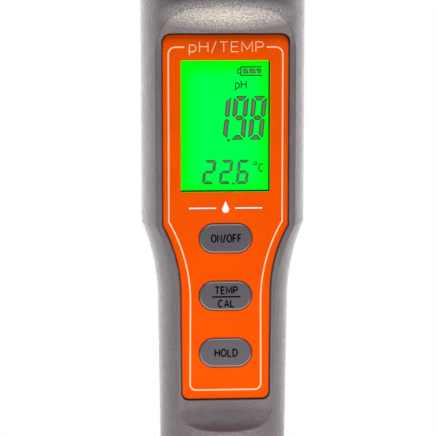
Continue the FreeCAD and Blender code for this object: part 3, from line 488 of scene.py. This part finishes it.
def ribbon(points, width, front, thickness, closed=False):
    """Vertices and faces of a printed line of even width along points (x, z) in millimetres."""
    path = [p for p, q in zip(points, points[1:]) if math.dist(p, q) > 1e-4] + points[-1:]
    count = len(path)
    vertices, faces = [], []
    for index, (x, z) in enumerate(path):
        before = path[index - 1] if index or closed else path[index]
        after = path[(index + 1) % count] if index < count - 1 or closed else path[index]
        into = Vector((x - before[0], z - before[1]))
        out = Vector((after[0] - x, after[1] - z))
        into = into.normalized() if into.length else out.normalized()
        out = out.normalized() if out.length else into
        middle = (into + out).normalized()
        reach = width / 2 / max(0.5, middle.dot(into))
        side = Vector((-middle.y, middle.x)) * reach
        corners = [(x + side.x, z + side.y), (x - side.x, z - side.y)]
        vertices += [(cx * MM, -depth * MM, cz * MM)
                     for cx, cz in corners for depth in (front, front - thickness)]
    for index in range(count if closed else count - 1):
        a, b = index * 4, ((index + 1) % count) * 4
        for near, far in ((0, 2), (2, 3), (3, 1), (1, 0)):
            faces.append([a + near, a + far, b + far, b + near])
    if not closed:
        faces.append([0, 1, 3, 2])
        end = (count - 1) * 4
        faces.append([end + 2, end + 3, end + 1, end])
    return vertices, faces


def bowl(low, high, start):
    """The round of a P or D: out from the stem, round to the right and back, in a unit cell."""
    half = (high - low) / 2
    turn = arc(0.0, 0.0, 1.0, 90, -90)
    curve = [(start + (1 - start) * x, low + half + half * z) for x, z in turn]
    return [(0.0, high)] + curve + [(0.0, low)]


def round_letter(start, end):
    """A stretch of the oval that fills a unit cell."""
    return [(0.5 + x / 2, 0.5 + z / 2) for x, z in arc(0.0, 0.0, 1.0, start, end, 28)]


# each letter's width against its height, and its strokes in a cell that is 1 wide and 1 high
LETTERS = {
    "A": (0.70, [[(0, 0), (0.5, 1), (1, 0)], [(0.17, 0.32), (0.83, 0.32)]]),
    "C": (0.68, [round_letter(48, 312)]),
    "D": (0.66, [bowl(0, 1, 0.35) + [(0, 1)]]),
    "E": (0.54, [[(1, 1), (0, 1), (0, 0), (1, 0)], [(0, 0.52), (0.9, 0.52)]]),
    "F": (0.52, [[(1, 1), (0, 1), (0, 0)], [(0, 0.52), (0.88, 0.52)]]),
    "H": (0.64, [[(0, 0), (0, 1)], [(1, 0), (1, 1)], [(0, 0.52), (1, 0.52)]]),
    "L": (0.50, [[(0, 1), (0, 0), (1, 0)]]),
    "M": (0.78, [[(0, 0), (0, 1), (0.5, 0.22), (1, 1), (1, 0)]]),
    "N": (0.66, [[(0, 0), (0, 1), (1, 0), (1, 1)]]),
    "O": (0.76, [round_letter(0, 360)]),
    "P": (0.58, [[(0, 0), (0, 1)] + bowl(0.45, 1, 0.45)]),
    "T": (0.62, [[(0, 1), (1, 1)], [(0.5, 1), (0.5, 0)]]),
    "p": (0.50, [[(0, -0.33), (0, 0.72)], bowl(0.0, 0.70, 0.42)]),
    "/": (0.36, [[(0, -0.12), (1, 1.08)]]),
}


def lettering(words, box, front, thickness, stroke, space=0.2):
    """Printed words in strokes of even width. Capitals fill the box (x0, x1, z0, z1)."""
    left, right, low, high = box
    height = high - low - stroke
    widths = [LETTERS[letter][0] for letter in words]
    stretch = (right - left - stroke) / (sum(widths) + space * (len(words) - 1))
    cursor, parts = left + stroke / 2, []
    for letter, width in zip(words, widths):
        for order, path in enumerate(LETTERS[letter][1]):
            points = [(cursor + x * width * stretch, low + stroke / 2 + z * height)
                      for x, z in path]
            closed = math.dist(points[0], points[-1]) < 1e-6
            points = points[:-1] if closed else points
            parts.append(ribbon(points, stroke, front + order * LAYER, thickness, closed))
        cursor += (width + space) * stretch
    return joined(*parts)


def joined(*parts):
    """Several (vertices, faces) pairs as one."""
    vertices, faces = [], []
    for more_vertices, more_faces in parts:
        base = len(vertices)
        vertices += more_vertices
        faces += [[index + base for index in face] for face in more_faces]
    return vertices, faces


# ---- printing on the faceplate and the keys ----

def face_depth(node):
    """How far in front of the axis a node's face stands, in millimetres."""
    return -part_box(node)[0].y / MM


def print_faceplate():
    """The cream line and title, and a droplet between two bars where a mark would stand."""
    front = face_depth("face_overlay") + PRINT_THICKNESS
    thickness = PRINT_THICKNESS * 2
    cream = printed_ink("cream_ink", (1.0, 0.60, 0.34))
    line = ribbon(line_path(), LINE_WIDTH, front, thickness)
    new_piece("printed_line", *line, cream, "root", "overlay_orange")
    title = lettering("pH/TEMP", (-8.35, 8.7, 154.0, 156.45), front, thickness,
                      TITLE_STROKE, 0.26)
    new_piece("printed_title", *title, cream, "root", "overlay_orange")
    white = printed_ink("white_ink", (0.95, 0.93, 0.90))
    drop = [(0.0, 120.15)] + arc(0.0, 118.2, 0.8, 35, -215, 24)
    bars = [[(side * 2.2, 118.32), (side * 8.4, 118.32),
             (side * 8.4, 118.62), (side * 2.2, 118.62)] for side in (-1, 1)]
    mark = plates([drop] + bars, front, thickness)
    new_piece("printed_drop", *mark, white, "root", "overlay_orange")


def print_keys():
    """Each key's label, which moves with the key."""
    thickness = PRINT_THICKNESS * 2
    black = printed_ink("black_ink", (0.001, 0.001, 0.0015), 0.6, 0.0)
    labels = {
        "key_on_off": [("ON/OFF", (-3.4, 3.72, 110.5, 112.5))],
        "key_temp_cal": [("TEMP", (-2.54, 2.86, 98.5, 100.4)),
                         ("CAL", (-1.81, 2.05, 95.36, 97.3))],
        "key_hold": [("HOLD", (-2.57, 2.88, 83.8, 85.77))],
    }
    for node, words in labels.items():
        front = face_depth(node) + PRINT_THICKNESS
        parts = [lettering(text, box, front, thickness, LABEL_STROKE, LABEL_SPACE)
                 for text, box in words]
        if node == "key_temp_cal":
            bar = [(-3.14, 97.76), (3.44, 97.76), (3.44, 98.1), (-3.14, 98.1)]
            parts.append(plates([bar], front, thickness))
        new_piece(node + "_label", *joined(*parts), black, KEY_BODIES[node], "key_rubber")


# ---- figures on the display ----

def segment_outline(kind, width, height, stroke, gap):
    """One segment of an upright figure whose lower left corner is at (0, 0)."""
    half = stroke / 2
    middle = height / 2
    cut = gap / 2
    if kind in "ad":
        edge, inward = (height, -stroke) if kind == "a" else (0.0, stroke)
        return [(cut * 2, edge), (width - cut * 2, edge),
                (width - stroke * 1.05 - cut, edge + inward), (stroke * 1.05 + cut, edge + inward)]
    if kind == "g":
        return [(half + cut, middle), (stroke * 1.05 + cut, middle + half),
                (width - stroke * 1.05 - cut, middle + half), (width - half - cut, middle),
                (width - stroke * 1.05 - cut, middle - half), (stroke * 1.05 + cut, middle - half)]
    outer, inner = (0.0, stroke) if kind in "ef" else (width, width - stroke)
    point = (outer + inner) / 2
    end, near = (height, middle) if kind in "bf" else (0.0, middle)
    away = 1 if kind in "bf" else -1
    return [(outer, end - away * cut * 2), (inner, end - away * (stroke + cut)),
            (inner, near + away * (half + cut)), (point, near + away * cut),
            (outer, near + away * (half + cut) * 0.8)]


def inset(outline, distance):
    """The outline drawn in by a distance on every side."""
    ring = anticlockwise(outline)
    result = []
    for index, point in enumerate(ring):
        before, after = Vector(ring[index - 1]), Vector(ring[(index + 1) % len(ring)])
        here = Vector(point)
        into, out = (here - before).normalized(), (after - here).normalized()
        inner = (Vector((-into.y, into.x)) + Vector((-out.y, out.x))).normalized()
        spread = max(0.45, inner.dot(Vector((-into.y, into.x))))
        result.append(tuple(here + inner * (distance / spread)))
    return result


def figure(digit, middle_x, low, width, height, stroke, gap, slant):
    """The lit segments of one figure, leaning to the right."""
    outlines = []
    for kind in SEGMENTS[digit]:
        outline = segment_outline(kind, width, height, stroke, gap)
        outlines.append([(middle_x - width / 2 + x + (z - height / 2) * slant, low + z)
                         for x, z in outline])
    return outlines


def shade_window():
    """Painted shade: a dark line along the right and lower rims of the window, where the rims'
    shade falls.
    """
    front = face_depth("lcd_glass") + FIGURE_GAP
    ink = figure_ink("painted_shade_ink", (0.003, 0.006, 0.003), (0.0, 0.012, 0.001))
    right, low = WINDOW_HALF + SHADE_LINE_SHIFT, WINDOW_LOW - SHADE_LINE_SHIFT
    path = [(right, WINDOW_HIGH), (right, low), (-WINDOW_HALF, low)]
    line = ribbon(path, SHADE_LINE_WIDTH, front, FIGURE_THICKNESS)
    new_piece("window_painted_shade", *line, ink, "root", "lcd_green")


def show_figures():
    """The reading and the temperature, just in front of the glass: dark edges, paler inside."""
    front = face_depth("lcd_glass") + FIGURE_GAP
    edge_ink = figure_ink("segment_edge", (0.004, 0.02, 0.006), (0.002, 0.025, 0.006))
    fill_ink = figure_ink("segment_fill", (0.05, 0.05, 0.04), (0.13, 0.14, 0.09))
    sign_ink = figure_ink("sign_ink", (0.0, 0.01, 0.003), (0.0, 0.035, 0.003))

    large = []
    for digit, x in (("1", -0.72), ("9", 3.36), ("8", 7.50)):
        large += figure(digit, x, **LARGE_FIGURE)
    small = []
    for digit, x in (("2", -3.60), ("2", 0.28), ("6", 4.15)):
        small += figure(digit, x, **SMALL_FIGURE)
    points = [arc(0.83, 133.82, 0.3, 0, 345, 23), arc(1.97, 123.82, 0.24, 0, 345, 23)]
    fills = [inset(outline, 0.2) for outline in large] + [inset(outline, 0.17) for outline in small]
    show("reading_edges", plates(large + small, front, FIGURE_THICKNESS), edge_ink)
    show("reading_points", plates(points, front, FIGURE_THICKNESS), sign_ink)
    show("reading_fills", plates(fills, front + FILL_STEP, FIGURE_THICKNESS), fill_ink)
    show_battery(front, edge_ink, fill_ink, sign_ink)
    show_units(front, sign_ink)


def show(name, shape, ink):
    """A figure or sign of the display, which is fixed to the housing."""
    new_piece(name, *shape, ink, "root", "lcd_green")


def show_battery(front, edge_ink, fill_ink, sign_ink):
    """The battery sign, open on its right, with three slanted bars."""
    outline = [(8.5, 150.57), (3.66, 150.57), (3.66, 148.64), (8.5, 148.64)]
    body = ribbon(outline, SIGN_STROKE, front, FIGURE_THICKNESS)
    nub_outline = [(3.5, 150.1), (2.95, 150.1), (2.95, 149.12), (3.5, 149.12)]
    nub = ribbon(nub_outline, 0.22, front, FIGURE_THICKNESS)
    bars = [
        [(4.17, 149.1), (5.49, 149.1), (5.12, 150.12), (4.17, 150.12)],
        [(5.85, 149.1), (7.18, 149.1), (6.86, 150.12), (5.52, 150.12)],
        [(7.54, 149.1), (8.34, 149.1), (8.34, 150.12), (7.22, 150.12)],
    ]
    inner_bars = [inset(bar, 0.16) for bar in bars]
    show("battery_sign", joined(body, nub), sign_ink)
    show("battery_bars", plates(bars, front, FIGURE_THICKNESS), edge_ink)
    show("battery_fill", plates(inner_bars, front + FILL_STEP, FIGURE_THICKNESS), fill_ink)


def show_units(front, sign_ink):
    """The units of the two readings."""
    unit = lettering("pH", (2.33, 5.04, 145.6, 147.57), front, FIGURE_THICKNESS, SIGN_STROKE, 0.24)
    circle = arc(7.04, 128.47, 0.36, 0, 345, 23)
    ring = ribbon(circle, 0.2, front, FIGURE_THICKNESS, closed=True)
    celsius = lettering("C", (7.73, 9.04, 126.49, 128.47), front, FIGURE_THICKNESS, 0.24)
    show("unit_signs", joined(unit, ring, celsius), sign_ink)


# ---- floor, light and camera ----

def make_floor():
    """A plain pale disc under the tester."""
    bpy.ops.mesh.primitive_circle_add(vertices=128, radius=FLOOR_RADIUS, fill_type="NGON",
                                      location=(0, 0, 0))
    floor = bpy.context.object
    floor.name = "floor"
    material, shader = new_material("pale_floor", (FLOOR_GREY,) * 3, 0.6)
    vary_roughness(material, shader, 0.05, 0.55, 0.65)
    shader.inputs["Emission Color"].default_value = (1.0, 1.0, 1.0, 1.0)
    shader.inputs["Emission Strength"].default_value = FLOOR_LIFT
    floor.data.materials.append(material)


def add_light(name, place, aim, size, power, colour):
    """A soft rectangular light. Places and sizes in metres."""
    light = bpy.data.lights.new(name, "AREA")
    light.shape = "RECTANGLE"
    light.size, light.size_y = size
    light.energy = power
    light.color = colour
    holder = bpy.data.objects.new(name, light)
    holder.location = place
    holder.rotation_euler = (Vector(aim) - Vector(place)).to_track_quat("-Z", "Y").to_euler()
    holder.visible_camera = False
    bpy.context.scene.collection.objects.link(holder)


def make_world():
    """A surround like a light tent: bright behind and beside the tester, dim in front of it."""
    world = bpy.data.worlds.new("surround")
    bpy.context.scene.world = world
    world.use_nodes = True
    nodes, links = world.node_tree.nodes, world.node_tree.links
    background = nodes["Background"]
    place = nodes.new("ShaderNodeTexCoord")
    split = nodes.new("ShaderNodeSeparateXYZ")
    spread = nodes.new("ShaderNodeMapRange")
    spread.interpolation_type = "SMOOTHSTEP"
    spread.inputs["From Min"].default_value = 0.05
    spread.inputs["From Max"].default_value = 0.85
    spread.inputs["To Min"].default_value = FRONT_GLOW
    spread.inputs["To Max"].default_value = BACK_GLOW
    links.new(place.outputs["Generated"], split.inputs["Vector"])
    links.new(split.outputs["Y"], spread.inputs["Value"])
    path = nodes.new("ShaderNodeLightPath")
    seen = nodes.new("ShaderNodeMix")
    links.new(path.outputs["Is Camera Ray"], seen.inputs["Factor"])
    links.new(spread.outputs["Result"], seen.inputs["A"])
    seen.inputs["B"].default_value = 1.0
    links.new(seen.outputs["Result"], background.inputs["Strength"])
    background.inputs["Color"].default_value = (1.0, 1.0, 1.0, 1.0)


def make_lights():
    """A warm light lying in front of the tester, like a light table, and a cool one above."""
    add_light("floor_glow", place=(0.0, -0.085, 0.004), aim=(0.0, -0.085, 1.0), size=(0.4, 0.11),
              power=FLOOR_WATTS, colour=(1.0, 0.955, 0.91))
    add_light("overhead", place=(0.0, -0.40, 0.50), aim=(0.0, 0.0, 0.1), size=(0.5, 0.2),
              power=OVERHEAD_WATTS, colour=(0.95, 0.97, 1.0))


def make_camera():
    """The viewpoint: in front of the display, a little above it and to its left."""
    azimuth, elevation = math.radians(VIEW_AZIMUTH), math.radians(VIEW_ELEVATION)
    away = Vector((math.sin(azimuth) * math.cos(elevation),
                   -math.cos(azimuth) * math.cos(elevation), math.sin(elevation)))
    data = bpy.data.cameras.new("camera")
    data.sensor_width = SENSOR_WIDTH
    data.lens = FOCAL_LENGTH
    data.clip_start = 0.01
    camera = bpy.data.objects.new("camera", data)
    camera.location = Vector(VIEW_AIM) + away * VIEW_DISTANCE
    camera.rotation_euler = (-away).to_track_quat("-Z", "Y").to_euler()
    bpy.context.scene.collection.objects.link(camera)
    bpy.context.scene.camera = camera


make_camera()
make_world()
make_lights()
make_floor()
dress_nodes()
print_faceplate()
print_keys()
shade_window()
show_figures()
bpy.context.scene.view_settings.view_transform = "Standard"
